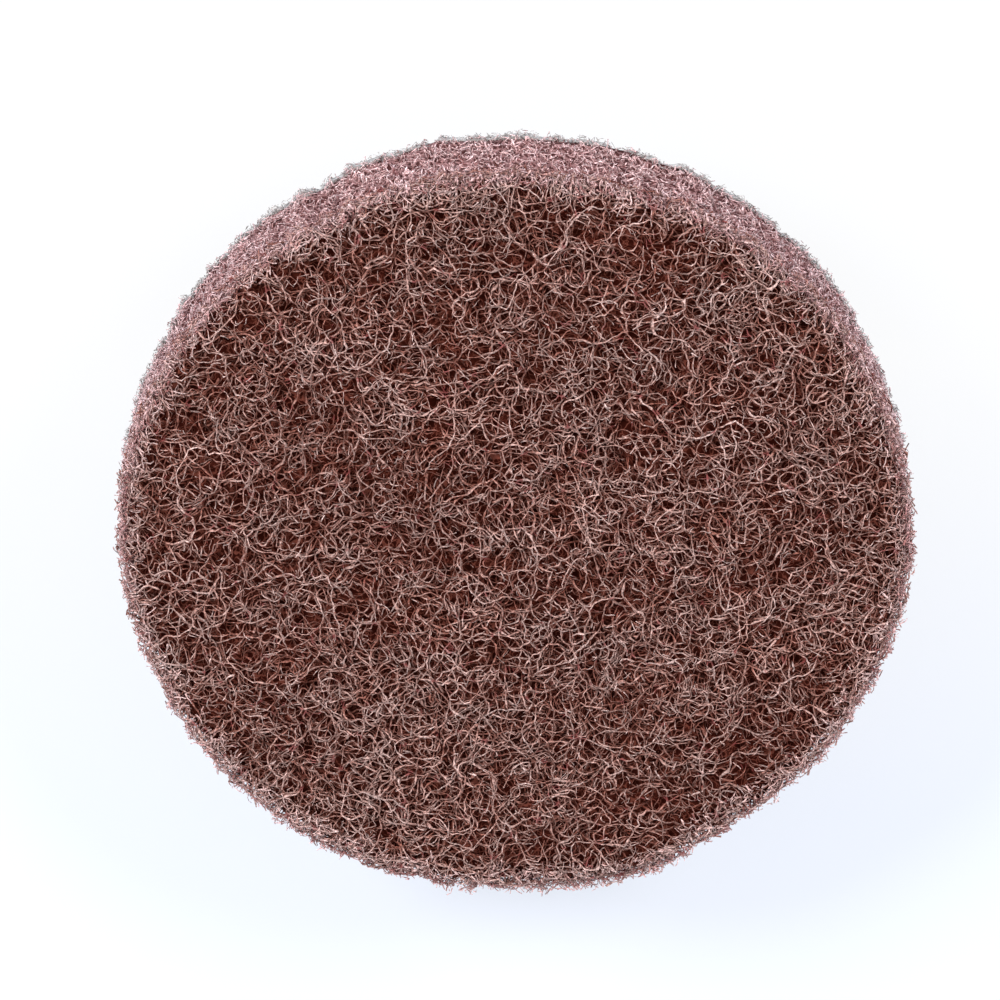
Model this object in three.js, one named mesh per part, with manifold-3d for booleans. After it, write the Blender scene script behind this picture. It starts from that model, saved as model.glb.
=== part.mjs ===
// A quick-change polishing disc, in millimetres: a thick disc of matted, resin-coated nylon fibre, laminated
// to a thin grey backing cloth, with a moulded nylon hub bonded to the middle of its back. The hub's short,
// coarse threaded stub screws into a holder on a small angle grinder.
//
// +Z runs along the spindle axis towards the working face. The origin is the centre of the stub's flat end,
// which the disc rests on when it is put down with its working face up.
import * as THREE from "three";
import { ConvexHull } from "three/addons/math/ConvexHull.js";
import { mergeVertices } from "three/addons/utils/BufferGeometryUtils.js";
import Module from "manifold-3d";

// The fibre web, die-cut from a lofty sheet.
const WEB_DIAMETER = 75;
const WEB_THICKNESS = 11.2;
const WEB_EDGE_ROUNDING = 1.6; // where the cut edge has fluffed over at the working face
const PORE_SPACING = 2.6; // between the middles of neighbouring hollows in the matted fibre
const PORE_DEPTH_LEAST = 0.5;
const PORE_DEPTH_MOST = 1.2;
const RIDGE_DROP_MOST = 0.4; // the strands between hollows lie up to this far below the web's outline
const PORE_SCATTER = 0.3; // share of the spacing that a hollow lies off the even pattern
const PORE_PATTERN = 20; // starts the random numbers that scatter the hollows

// The backing cloth, laminated to the web.
const BACKING_THICKNESS = 0.8;
const BACKING_INSET = 0.25; // the cloth's cut edge lies this far inside the web's

// The hub: a flange, a boss in its middle and the threaded stub.
const FLANGE_DIAMETER = 30;
const FLANGE_THICKNESS = 1.7;
const FLANGE_EDGE_ROUNDING = 0.8;
const BOSS_DIAMETER = 13;
const BOSS_HEIGHT = 0.9;
const BOSS_CHAMFER = 0.5;
const STUB_ROOT_DIAMETER = 6.8;
const STUB_LENGTH = 6.4;
const STUB_CHAMFER = 0.6;

// The stub's thread: one coarse start with a trapezoidal ridge.
const THREAD_CREST_DIAMETER = 8.6;
const THREAD_PITCH = 3.2;
const THREAD_ROOT_WIDTH = 1.7;
const THREAD_CREST_WIDTH = 0.8;
const THREAD_END_GAP = 0.5; // from the stub's end to the ridge's lowest edge
const THREAD_BOSS_GAP = 0.2; // from the ridge's highest edge to the boss
const THREAD_FOOT_DEPTH = 0.5; // the ridge's foot is let into the stub by this much
const THREAD_END_DEPTH = 0.1; // and its two tapered ends dip under the stub's surface by this much

const HUB_SIDES = 48;
const BACKING_SIDES = 96;
const THREAD_STEPS_PER_TURN = 24;
const THREAD_TAPER_TURNS = 0.18; // the ridge rises out of the stub over this much of a turn
const ROUNDING_STEPS = 4;
const WELD_DISTANCE = 1e-4; // points nearer than this are one point

// Heights of the stack, from the stub's end up.
const webRadius = WEB_DIAMETER / 2;
const bossBottom = STUB_LENGTH;
const flangeBottom = bossBottom + BOSS_HEIGHT;
const backingBottom = flangeBottom + FLANGE_THICKNESS;
const webBottom = backingBottom + BACKING_THICKNESS;
const webTop = webBottom + WEB_THICKNESS;

const wasm = await Module();
wasm.setup();

const materials = {
  web: new THREE.MeshStandardMaterial({ color: 0x8a6058, roughness: 0.75, metalness: 0 }),
  backing: new THREE.MeshStandardMaterial({ color: 0xc4c1b8, roughness: 0.9, metalness: 0 }),
  hub: new THREE.MeshStandardMaterial({ color: 0x26272a, roughness: 0.45, metalness: 0 }),
};

function toManifold(geometry) {
  const bare = geometry.clone();
  bare.deleteAttribute("normal");
  bare.deleteAttribute("uv");
  const merged = mergeVertices(bare, WELD_DISTANCE);
  return new wasm.Manifold(
    new wasm.Mesh({
      numProp: 3,
      vertProperties: merged.attributes.position.array,
      triVerts: new Uint32Array(merged.index.array),
    }),
  );
}

function toGeometry(solid) {
  const mesh = solid.getMesh();
  const geometry = new THREE.BufferGeometry();
  geometry.setAttribute("position", new THREE.BufferAttribute(mesh.vertProperties, 3));
  geometry.setIndex(new THREE.BufferAttribute(mesh.triVerts, 1));
  geometry.computeVertexNormals();
  return geometry;
}

// A solid of revolution about Z from (radius, height) pairs that run from the axis at the bottom to the axis
// at the top. LatheGeometry turns about Y, so the result is stood up on Z.
function lathe(profile, sides) {
  const points = profile.map(([radius, height]) => new THREE.Vector2(radius, height));
  return new THREE.LatheGeometry(points, sides).rotateX(Math.PI / 2);
}

// Points on a quarter circle about (radius, height), from one angle to another, in degrees.
function arc(radius, height, size, from, to) {
  const points = [];
  for (let i = 0; i <= ROUNDING_STEPS; i++) {
    const angle = THREE.MathUtils.degToRad(from + ((to - from) * i) / ROUNDING_STEPS);
    points.push([radius + size * Math.cos(angle), height + size * Math.sin(angle)]);
  }
  return points;
}

// The web's outline as one line from the middle of the working face, over the rounded edge and down the rim.
const faceReach = webRadius - WEB_EDGE_ROUNDING;
const edgeReach = faceReach + (WEB_EDGE_ROUNDING * Math.PI) / 2;
const rimReach = edgeReach + WEB_THICKNESS - WEB_EDGE_ROUNDING;

// The place and outward normal at a distance along that outline and an angle round the axis.
function outlineAt(reach, angle) {
  let radius = reach;
  let height = webTop;
  let tilt = 0;
  if (reach > edgeReach) {
    radius = webRadius;
    height = webTop - WEB_EDGE_ROUNDING - (reach - edgeReach);
    tilt = Math.PI / 2;
  } else if (reach > faceReach) {
    tilt = (reach - faceReach) / WEB_EDGE_ROUNDING;
    radius = faceReach + WEB_EDGE_ROUNDING * Math.sin(tilt);
    height = webTop - WEB_EDGE_ROUNDING * (1 - Math.cos(tilt));
  }
  const across = new THREE.Vector3(Math.cos(angle), Math.sin(angle), 0);
  return {
    place: across.clone().multiplyScalar(radius).setZ(height),
    normal: across.multiplyScalar(Math.sin(tilt)).setZ(Math.cos(tilt)),
  };
}

// The same point on a unit sphere, with the working face as a cap round its pole. Shapes keep their angles on
// the way, so the triangles of the sphere's hull are well shaped on the web too.
function onSphere(reach, angle) {
  const past = Math.max(0, reach - faceReach) / webRadius;
  const stretch = (Math.min(reach, faceReach) / webRadius) * Math.exp(past);
  return new THREE.Vector3().setFromSphericalCoords(1, 2 * Math.atan(stretch), angle);
}

// How far along the outline a share of the face's and rim's joint area reaches.
function reachOfArea(area) {
  const faceArea = Math.PI * webRadius ** 2;
  if (area < faceArea) return (Math.sqrt(area / faceArea) * (faceReach + edgeReach)) / 2;
  return (faceReach + edgeReach) / 2 + (area - faceArea) / (2 * Math.PI * webRadius);
}

// The hollows of the web: a sunflower spiral over the face and on down the rim, each scattered a little.
function scatterPores() {
  const rimLength = rimReach - (faceReach + edgeReach) / 2;
  const area = Math.PI * webRadius ** 2 + 2 * Math.PI * webRadius * (rimLength - PORE_SPACING / 2);
  const count = Math.round(area / (PORE_SPACING ** 2 * Math.sin(Math.PI / 3)));
  const lowestReach = rimReach - PORE_SPACING / 3;
  const goldenAngle = Math.PI * (3 - Math.sqrt(5));
  const random = THREE.MathUtils.seededRandom;
  random(PORE_PATTERN);
  const pores = [];
  for (let i = 0; i < count; i++) {
    const scatter = PORE_SCATTER * PORE_SPACING;
    const evenReach = reachOfArea(((i + 0.5) / count) * area);
    const reach = Math.abs(evenReach + scatter * (2 * random() - 1));
    const turn = (scatter * (2 * random() - 1)) / Math.max(reach, PORE_SPACING);
    const depth = THREE.MathUtils.lerp(PORE_DEPTH_LEAST, PORE_DEPTH_MOST, random());
    const angle = i * goldenAngle + turn;
    const { place, normal } = outlineAt(Math.min(reach, lowestReach), angle);
    pores.push({ place, normal, depth, sphere: onSphere(reach, angle) });
  }
  return pores;
}

// The sharp edge of the web's flat back, as a ring of points.
function backEdge() {
  const sides = Math.round((2 * Math.PI * webRadius) / PORE_SPACING);
  return Array.from({ length: sides }, (_, i) => {
    const angle = (2 * Math.PI * i) / sides;
    return { ...outlineAt(rimReach, angle), depth: 0, sphere: onSphere(rimReach, angle) };
  });
}

// The fibre web as one closed solid: hollows with a net of ridges between them on the face and rim, and a
// flat back. The hull of the points on the sphere joins neighbouring hollows in threes. A ridge point stands
// over each three, and each pair of neighbouring ridge points makes a facet down to each hollow beside it.
function makeWeb() {
  const backMiddle = {
    place: new THREE.Vector3(0, 0, webBottom),
    normal: new THREE.Vector3(0, 0, -1),
    depth: 0,
    sphere: new THREE.Vector3(0, -1, 0),
  };
  const points = [...scatterPores(), ...backEdge(), backMiddle];
  const middle = points.length - 1;
  const indexOf = new Map(points.map(({ sphere }, i) => [sphere, i]));
  const vertices = points.map(({ place, normal, depth }) => place.clone().addScaledVector(normal, -depth));
  const hull = new ConvexHull().setFromPoints(points.map(({ sphere }) => sphere));
  const corners = (face) => [0, 1, 2].map((i) => indexOf.get(face.getEdge(i).head().point));
  const ridgeOf = new Map();
  for (const face of hull.faces) {
    const three = corners(face);
    if (three.includes(middle)) continue;
    const place = new THREE.Vector3();
    const normal = new THREE.Vector3();
    for (const i of three) {
      place.addScaledVector(points[i].place, 1 / 3);
      normal.add(points[i].normal);
    }
    const drop = RIDGE_DROP_MOST * THREE.MathUtils.seededRandom() ** 2;
    ridgeOf.set(face, vertices.length);
    vertices.push(place.addScaledVector(normal.normalize(), -drop));
  }
  const triangles = [];
  for (const face of hull.faces) {
    if (!ridgeOf.has(face)) {
      triangles.push(corners(face));
      continue;
    }
    for (let i = 0; i < 3; i++) {
      const edge = face.getEdge(i);
      const from = indexOf.get(edge.tail().point);
      const to = indexOf.get(edge.head().point);
      const across = ridgeOf.get(edge.twin.face);
      triangles.push([from, across ?? to, ridgeOf.get(face)]);
    }
  }
  const geometry = new THREE.BufferGeometry().setFromPoints(vertices);
  geometry.setIndex(triangles.flat());
  geometry.computeVertexNormals();
  return geometry;
}

// The backing cloth: a thin round of cloth, flush with the web's flat back.
function makeBacking() {
  const radius = webRadius - BACKING_INSET;
  const profile = [[0, backingBottom], [radius, backingBottom], [radius, webBottom], [0, webBottom]];
  return lathe(profile, BACKING_SIDES);
}

// The ridge of the thread: a trapezoid that climbs round the stub, and sinks into it at both ends.
function makeThreadRidge() {
  const climb = STUB_LENGTH - THREAD_END_GAP - THREAD_BOSS_GAP - THREAD_ROOT_WIDTH;
  const threadTurns = climb / THREAD_PITCH;
  const steps = Math.round(threadTurns * THREAD_STEPS_PER_TURN);
  const rootRadius = STUB_ROOT_DIAMETER / 2;
  const crestRadius = THREAD_CREST_DIAMETER / 2;
  const footRadius = rootRadius - THREAD_FOOT_DEPTH;
  const endRadius = rootRadius - THREAD_END_DEPTH;
  const start = THREAD_END_GAP + THREAD_ROOT_WIDTH / 2;
  const positions = [];
  for (let i = 0; i <= steps; i++) {
    const turns = (threadTurns * i) / steps;
    const angle = turns * 2 * Math.PI;
    const height = start + turns * THREAD_PITCH;
    const rise = Math.min(1, Math.min(turns, threadTurns - turns) / THREAD_TAPER_TURNS);
    const top = THREE.MathUtils.lerp(endRadius, crestRadius, rise);
    const section = [
      [footRadius, -THREAD_ROOT_WIDTH / 2],
      [top, -THREAD_CREST_WIDTH / 2],
      [top, THREAD_CREST_WIDTH / 2],
      [footRadius, THREAD_ROOT_WIDTH / 2],
    ];
    for (const [radius, lift] of section) {
      positions.push(radius * Math.cos(angle), radius * Math.sin(angle), height + lift);
    }
  }
  const sides = 4;
  const triangles = [];
  for (let i = 0; i < steps; i++) {
    for (let j = 0; j < sides; j++) {
      const a = i * sides + j;
      const b = i * sides + ((j + 1) % sides);
      triangles.push(a, a + sides, b, b, a + sides, b + sides);
    }
  }
  const last = steps * sides;
  triangles.push(0, 1, 2, 0, 2, 3);
  triangles.push(last, last + 2, last + 1, last, last + 3, last + 2);
  const geometry = new THREE.BufferGeometry();
  geometry.setAttribute("position", new THREE.Float32BufferAttribute(positions, 3));
  geometry.setIndex(triangles);
  return geometry;
}

// The hub, moulded in one piece: stub, boss and flange, with the thread's ridge joined on.
function makeHub() {
  const rootRadius = STUB_ROOT_DIAMETER / 2;
  const bossRadius = BOSS_DIAMETER / 2;
  const flangeRadius = FLANGE_DIAMETER / 2;
  const edge = FLANGE_EDGE_ROUNDING;
  const profile = [
    [0, 0],
    [rootRadius - STUB_CHAMFER, 0],
    [rootRadius, STUB_CHAMFER],
    [rootRadius, bossBottom],
    [bossRadius - BOSS_CHAMFER, bossBottom],
    [bossRadius, bossBottom + BOSS_CHAMFER],
    [bossRadius, flangeBottom],
    ...arc(flangeRadius - edge, flangeBottom + edge, edge, -90, 0),
    [flangeRadius, backingBottom],
    [0, backingBottom],
  ];
  const body = toManifold(lathe(profile, HUB_SIDES));
  return toGeometry(body.add(toManifold(makeThreadRidge())));
}

function named(name, geometry, material) {
  const mesh = new THREE.Mesh(geometry, material);
  mesh.name = name;
  return mesh;
}

const disc = new THREE.Group();
disc.add(named("abrasive_web", makeWeb(), materials.web));
disc.add(named("backing_cloth", makeBacking(), materials.backing));
disc.add(named("quick_change_hub", makeHub(), materials.hub));

export default disc;
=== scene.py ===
import math

import bmesh
import bpy
import numpy as np
from mathutils import Matrix, Vector


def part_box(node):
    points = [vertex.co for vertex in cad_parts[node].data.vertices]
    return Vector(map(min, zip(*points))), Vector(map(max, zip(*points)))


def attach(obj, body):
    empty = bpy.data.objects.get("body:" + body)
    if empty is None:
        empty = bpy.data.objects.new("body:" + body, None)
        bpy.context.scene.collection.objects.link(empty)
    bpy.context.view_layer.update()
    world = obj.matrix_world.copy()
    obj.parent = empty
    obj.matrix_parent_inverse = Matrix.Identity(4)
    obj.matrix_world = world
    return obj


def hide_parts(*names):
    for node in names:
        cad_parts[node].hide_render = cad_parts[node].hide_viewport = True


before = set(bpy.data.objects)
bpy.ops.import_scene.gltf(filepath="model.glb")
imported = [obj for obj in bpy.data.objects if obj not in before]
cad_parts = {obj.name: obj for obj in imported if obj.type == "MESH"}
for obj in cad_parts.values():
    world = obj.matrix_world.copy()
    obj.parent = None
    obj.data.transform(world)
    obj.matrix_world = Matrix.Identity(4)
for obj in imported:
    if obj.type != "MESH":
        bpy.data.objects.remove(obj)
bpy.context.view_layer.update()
bpy.context.scene.view_settings.view_transform = "Standard"

# The view: a long lens that looks down on the working face, with the rim that is nearest to it along the top.
# Places are in millimetres, as the disc is drawn, and turn into metres where Blender takes them.
MM = 0.001
CAMERA_PLACE = Vector((6.83, -248.1, 536.05))
CAMERA_RIGHT = Vector((-0.99995, -0.00406, 0.0086))
CAMERA_AHEAD = Vector((-0.0095, 0.42677, -0.90431))
CAMERA_LENS = 216
CAMERA_SENSOR = 36
CAMERA_SEES = (10, 20000)

camera_data = bpy.data.cameras.new("camera")
camera_data.lens = CAMERA_LENS
camera_data.sensor_width = CAMERA_SENSOR
camera_data.clip_start = CAMERA_SEES[0] * MM
camera_data.clip_end = CAMERA_SEES[1] * MM
camera = bpy.data.objects.new("camera", camera_data)
bpy.context.scene.collection.objects.link(camera)
ahead = CAMERA_AHEAD.normalized()
right = (CAMERA_RIGHT - ahead * CAMERA_RIGHT.dot(ahead)).normalized()
axes = Matrix((right, right.cross(ahead), -ahead)).transposed()
camera.matrix_world = Matrix.Translation(CAMERA_PLACE * MM) @ axes.to_4x4()
bpy.context.scene.camera = camera

# The light: two broad soft lamps over the near rim, which catch the cut fibres there and graze the face, a
# weak one over the far rim, and an even pale surround that fills the hollows. Where the camera looks past
# the floor, the surround is a plain pale grey.
LAMP_AWAY = 560
LAMP_SIZE = 300
LAMP_COLOUR = (1.0, 0.965, 0.955)
SURROUND_COLOUR = (0.9, 0.945, 1.0, 1)
SURROUND_STRENGTH = 0.59
BACKGROUND_COLOUR = (0.8, 0.8, 0.8, 1)

# Each lamp's name, its turn round the disc from the near side in degrees, its height and its power in watts.
LAMPS = [("lamp_left", 50, 380, 3.7), ("lamp_right", -46, 380, 2.8), ("lamp_far", 176, 170, 1.8)]

for name, turn, height, power in LAMPS:
    spin = math.radians(turn)
    place = Vector((math.sin(spin) * LAMP_AWAY, -math.cos(spin) * LAMP_AWAY, height))
    bpy.ops.object.light_add(type="AREA", location=place * MM)
    lamp = bpy.context.object
    lamp.name = name
    lamp.data.shape = "DISK"
    lamp.data.size = LAMP_SIZE * MM
    lamp.data.energy = power
    lamp.data.color = LAMP_COLOUR
    lamp.rotation_euler = (-place).to_track_quat("-Z", "Y").to_euler()


def add_node(tree, kind, output, inputs, **settings):
    """Adds a node with its settings to a finish or the surround, and gives one of its outputs. Each of its
    inputs is a plain value or the output of another node."""
    node = tree.nodes.new("ShaderNode" + kind)
    for setting, value in settings.items():
        setattr(node, setting, value)
    for socket, value in inputs.items():
        if isinstance(value, bpy.types.NodeSocket):
            tree.links.new(value, node.inputs[socket])
        else:
            node.inputs[socket].default_value = value
    return node.outputs[output]


def figure(tree, operation, *values):
    """One figure worked out from others, by an operation such as MULTIPLY."""
    return add_node(tree, "Math", "Value", dict(enumerate(values)), operation=operation)


def seen_directly(tree):
    """Is 1 where the camera sees a surface itself, or sees it mirrored or through something clear, and 0
    where the surface only lights others."""
    path = tree.nodes.new("ShaderNodeLightPath")
    mirrored = figure(tree, "MAXIMUM", path.outputs["Is Glossy Ray"], path.outputs["Is Transmission Ray"])
    return figure(tree, "MAXIMUM", path.outputs["Is Camera Ray"], mirrored)


world = bpy.data.worlds.new("surround")
bpy.context.scene.world = world
world.use_nodes = True
tree = world.node_tree
even = tree.nodes["Background"]
even.inputs["Color"].default_value = SURROUND_COLOUR
even.inputs["Strength"].default_value = SURROUND_STRENGTH
background = add_node(tree, "Background", "Background", {"Color": BACKGROUND_COLOUR})
surround = {"Fac": seen_directly(tree), 1: even.outputs["Background"], 2: background}
tree.links.new(add_node(tree, "MixShader", "Shader", surround), tree.nodes["World Output"].inputs["Surface"])

# The floor: a plain white sheet that the disc lies on. The camera sees it partly as white of its own, so that
# the disc's soft bluish shadow stays pale, most of all on the near side.
FLOOR_SIZE = 3000
FLOOR_COLOUR = (0.79, 0.865, 1.0, 1)
FLOOR_ROUGHNESS = 0.9
FLOOR_SPECULAR = 0.0
FLOOR_OWN_WHITE = (0.9, 0.38)
FLOOR_NEAR_TO_FAR = (-10, 40)


def new_finish(name, roughness, specular):
    """A finish with its nodes and its shader, whose roughness and specular level are set."""
    finish = bpy.data.materials.new(name)
    finish.use_nodes = True
    shader = finish.node_tree.nodes["Principled BSDF"]
    shader.inputs["Roughness"].default_value = roughness
    shader.inputs["Specular IOR Level"].default_value = specular
    return finish, finish.node_tree, shader


def stretched(tree, source, taken, given=(0, 1)):
    """A figure stretched so that the two ends of the range taken become those of the range given."""
    ends = {"From Min": taken[0], "From Max": taken[1], "To Min": given[0], "To Max": given[1]}
    return add_node(tree, "MapRange", "Result", {"Value": source, **ends})


bpy.ops.object.select_all(action="DESELECT")
bpy.ops.mesh.primitive_plane_add(size=FLOOR_SIZE * MM, location=(0, 0, 0))
floor = bpy.context.object
floor.name = "floor"
paper, tree, shader = new_finish("floor_paper", FLOOR_ROUGHNESS, FLOOR_SPECULAR)
shader.inputs["Base Color"].default_value = FLOOR_COLOUR
place = add_node(tree, "TexCoord", "Object", {})
far = add_node(tree, "SeparateXYZ", "Y", {"Vector": place})
own_white = stretched(tree, far, [side * MM for side in FLOOR_NEAR_TO_FAR], FLOOR_OWN_WHITE)
share = figure(tree, "MULTIPLY", seen_directly(tree), own_white)
white = add_node(tree, "Emission", "Emission", {})
sheet = add_node(tree, "MixShader", "Shader", {"Fac": share, 1: shader.outputs["BSDF"], 2: white})
tree.links.new(sheet, tree.nodes["Material Output"].inputs["Surface"])
floor.data.materials.append(paper)

# The quick-change hub: one moulding of dark glass-filled nylon, with a round flange that is bonded to the
# cloth, a low boss, and a stub whose single coarse thread turns into the holder.
FLANGE_RADIUS = 15
FLANGE_THICKNESS = 1.7
FLANGE_ROUNDING = 0.8
FLANGE_ROUNDING_STEPS = 6
BOSS_RADIUS = 6.5
BOSS_HEIGHT = 0.9
BOSS_CHAMFER = 0.5
BOSS_CHAMFER_STEPS = 3
STUB_RADIUS = 3.4
STUB_LENGTH = 6.4
STUB_CHAMFER = 0.6
STUB_CHAMFER_STEPS = 2
STUB_FILLET = 0.35
STUB_FILLET_STEPS = 3
HUB_SIDES = 128
HUB_SOFTENING = 0.12
HUB_SOFTENING_STEPS = 2
HUB_SOFTENED_ANGLE = 35
HUB_SMOOTH_ANGLE = 40
FACING_BACK = -0.9
SAME_RADIUS = 0.1
SAME_HEIGHT = 0.02
WELD_DISTANCE = 0.001

flange_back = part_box("quick_change_hub")[1].z / MM


def take_up(piece):
    """Selects a piece alone, for the operators that act on what is selected."""
    bpy.ops.object.select_all(action="DESELECT")
    piece.select_set(True)
    bpy.context.view_layer.objects.active = piece


def edit(piece):
    """Opens a piece for editing with nothing selected, and gives its mesh as bmesh."""
    take_up(piece)
    bpy.ops.object.mode_set(mode="EDIT")
    bpy.ops.mesh.select_mode(type="EDGE")
    bpy.ops.mesh.select_all(action="DESELECT")
    return bmesh.from_edit_mesh(piece.data)


def pick_ring(piece, radius, height):
    """Selects the edges of the ring at a radius and a height in millimetres, and nothing else."""
    bpy.ops.mesh.select_all(action="DESELECT")
    mesh = bmesh.from_edit_mesh(piece.data)
    for edge in mesh.edges:
        radii = [math.hypot(end.co.x, end.co.y) / MM for end in edge.verts]
        heights = [end.co.z / MM for end in edge.verts]
        on_ring = all(abs(found - radius) < SAME_RADIUS for found in radii)
        edge.select = on_ring and all(abs(found - height) < SAME_HEIGHT for found in heights)
    mesh.select_flush_mode()
    bmesh.update_edit_mesh(piece.data)


def face_out(piece):
    """Turns all the faces of a piece outwards, and ends its editing."""
    bpy.ops.mesh.select_all(action="SELECT")
    bpy.ops.mesh.normals_make_consistent(inside=False)
    bpy.ops.object.mode_set(mode="OBJECT")


def combine(piece, other, operation):
    """Joins another piece to a piece, or trims the piece with it, and removes the other."""
    take_up(piece)
    change = piece.modifiers.new("combine", "BOOLEAN")
    change.operation = operation
    change.object = other
    bpy.ops.object.modifier_apply(modifier=change.name)
    bpy.data.objects.remove(other)


bpy.ops.object.select_all(action="DESELECT")
bpy.ops.mesh.primitive_cylinder_add(
    vertices=HUB_SIDES, radius=FLANGE_RADIUS * MM, depth=FLANGE_THICKNESS * MM,
    location=(0, 0, (flange_back - FLANGE_THICKNESS / 2) * MM),
)
hub = bpy.context.object
hub.name = "threaded_hub"
bpy.ops.object.transform_apply(location=True, rotation=False, scale=False)
mesh = edit(hub)
for face in mesh.faces:
    face.select = face.normal.z < FACING_BACK
bmesh.update_edit_mesh(hub.data)
for last, rim, step in ((FLANGE_RADIUS, BOSS_RADIUS, BOSS_HEIGHT), (BOSS_RADIUS, STUB_RADIUS, STUB_LENGTH)):
    bpy.ops.mesh.inset(thickness=(last - rim) * MM)
    bpy.ops.mesh.extrude_region_move(TRANSFORM_OT_translate={"value": (0, 0, -step * MM)})
flange_low = flange_back - FLANGE_THICKNESS
boss_low = flange_low - BOSS_HEIGHT
for rim, level, size, steps in (
    (FLANGE_RADIUS, flange_low, FLANGE_ROUNDING, FLANGE_ROUNDING_STEPS),
    (BOSS_RADIUS, boss_low, BOSS_CHAMFER, BOSS_CHAMFER_STEPS),
    (BOSS_RADIUS, flange_low, STUB_FILLET, STUB_FILLET_STEPS),
    (STUB_RADIUS, boss_low, STUB_FILLET, STUB_FILLET_STEPS),
    (STUB_RADIUS, boss_low - STUB_LENGTH, STUB_CHAMFER, STUB_CHAMFER_STEPS),
):
    pick_ring(hub, rim, level)
    bpy.ops.mesh.bevel(offset=size * MM, segments=steps, affect="EDGES")
bpy.ops.object.mode_set(mode="OBJECT")

# The thread is one ridge, moulded with the stub. It is wound up the stub from a small flat section, and
# tapers into it at both ends, where it dips just under the stub's surface.
THREAD_CREST_RADIUS = 4.3
THREAD_PITCH = 3.2
THREAD_ROOT_WIDTH = 1.7
THREAD_CREST_WIDTH = 0.8
THREAD_END_GAP = 0.5
THREAD_BOSS_GAP = 0.2
THREAD_FOOT_DEPTH = 0.5
THREAD_END_RISE = 0.4
THREAD_TAPER_TURNS = 0.28
THREAD_STEPS = 90

bpy.ops.object.select_all(action="DESELECT")
bpy.ops.mesh.primitive_plane_add(size=1, location=(0, 0, 0))
ridge = bpy.context.object
ridge.name = "thread_ridge"
foot = STUB_RADIUS - THREAD_FOOT_DEPTH
thread_low = THREAD_END_GAP + THREAD_ROOT_WIDTH / 2
section = [
    (foot, -THREAD_ROOT_WIDTH / 2),
    (THREAD_CREST_RADIUS, -THREAD_CREST_WIDTH / 2),
    (foot, THREAD_ROOT_WIDTH / 2),
    (THREAD_CREST_RADIUS, THREAD_CREST_WIDTH / 2),
]
for vertex, (radius, lift) in zip(ridge.data.vertices, section):
    vertex.co = Vector((radius, 0, thread_low + lift)) * MM
thread_turns = (STUB_LENGTH - THREAD_END_GAP - THREAD_BOSS_GAP - THREAD_ROOT_WIDTH) / THREAD_PITCH
screw = ridge.modifiers.new("thread", "SCREW")
screw.axis = "Z"
screw.angle = 2 * math.pi * thread_turns
screw.screw_offset = thread_turns * THREAD_PITCH * MM
screw.steps = THREAD_STEPS
screw.render_steps = THREAD_STEPS
screw.use_smooth_shade = False
bpy.ops.object.modifier_apply(modifier=screw.name)
mesh = edit(ridge)
for vertex in mesh.verts:
    turn = math.atan2(vertex.co.y, vertex.co.x) % (2 * math.pi)
    radius = math.hypot(vertex.co.x, vertex.co.y) / MM
    if radius > STUB_RADIUS:
        level = vertex.co.z / MM - thread_low
        wound = turn / (2 * math.pi) + round(level / THREAD_PITCH - turn / (2 * math.pi))
        rise = min(1, max(0, min(wound, thread_turns - wound) / THREAD_TAPER_TURNS))
        tapered = (foot + THREAD_END_RISE) + (radius - foot - THREAD_END_RISE) * rise
        vertex.co.x *= tapered / radius
        vertex.co.y *= tapered / radius
bmesh.update_edit_mesh(ridge.data)
bpy.ops.mesh.select_all(action="SELECT")
bpy.ops.mesh.remove_doubles(threshold=WELD_DISTANCE * MM)
bpy.ops.mesh.select_all(action="DESELECT")
bpy.ops.mesh.select_non_manifold()
bpy.ops.mesh.fill()
face_out(ridge)

combine(hub, ridge, "UNION")
soften = hub.modifiers.new("soften", "BEVEL")
soften.width = HUB_SOFTENING * MM
soften.segments = HUB_SOFTENING_STEPS
soften.limit_method = "ANGLE"
soften.angle_limit = math.radians(HUB_SOFTENED_ANGLE)
bpy.ops.object.modifier_apply(modifier=soften.name)
bpy.ops.object.shade_smooth_by_angle(angle=math.radians(HUB_SMOOTH_ANGLE))

# The hub's finish: satin nylon, a little cloudy in its tone and its sheen, with a fine moulded grain. Each
# noise is given by its scale and its detail, and a relief by its strength and its depth in millimetres.
HUB_COLOUR_DARK = (0.014, 0.0145, 0.016, 1)
HUB_COLOUR_PALE = (0.026, 0.027, 0.029, 1)
HUB_ROUGHNESS = (0.34, 0.55)
HUB_SPECULAR = 0.5
HUB_CLOUDS = (260, 4)
HUB_GRAIN = (4200, 2)
HUB_GRAIN_RELIEF = (0.25, 0.05)


def noise(tree, place, scale_and_detail, output="Fac"):
    """A noise that runs through a piece."""
    scale, detail = scale_and_detail
    return add_node(tree, "TexNoise", output, {"Vector": place, "Scale": scale, "Detail": detail})


def mixed(tree, share, first, second, blend="MIX"):
    """One colour laid over another, by a share from 0 to 1."""
    inputs = {"Fac": share, "Color1": first, "Color2": second}
    return add_node(tree, "MixRGB", "Color", inputs, blend_type=blend)


def roughen(tree, shader, height, relief):
    """Gives a finish a fine relief."""
    strength, depth = relief
    bump = {"Height": height, "Strength": strength, "Distance": depth * MM}
    tree.links.new(add_node(tree, "Bump", "Normal", bump), shader.inputs["Normal"])


moulded, tree, shader = new_finish("moulded_nylon", HUB_ROUGHNESS[0], HUB_SPECULAR)
place = add_node(tree, "TexCoord", "Object", {})
clouds = noise(tree, place, HUB_CLOUDS)
tree.links.new(mixed(tree, clouds, HUB_COLOUR_DARK, HUB_COLOUR_PALE), shader.inputs["Base Color"])
tree.links.new(stretched(tree, clouds, (0, 1), HUB_ROUGHNESS), shader.inputs["Roughness"])
roughen(tree, shader, noise(tree, place, HUB_GRAIN), HUB_GRAIN_RELIEF)
hub.data.materials.append(moulded)
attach(hub, "root")
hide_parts("quick_change_hub")

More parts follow.
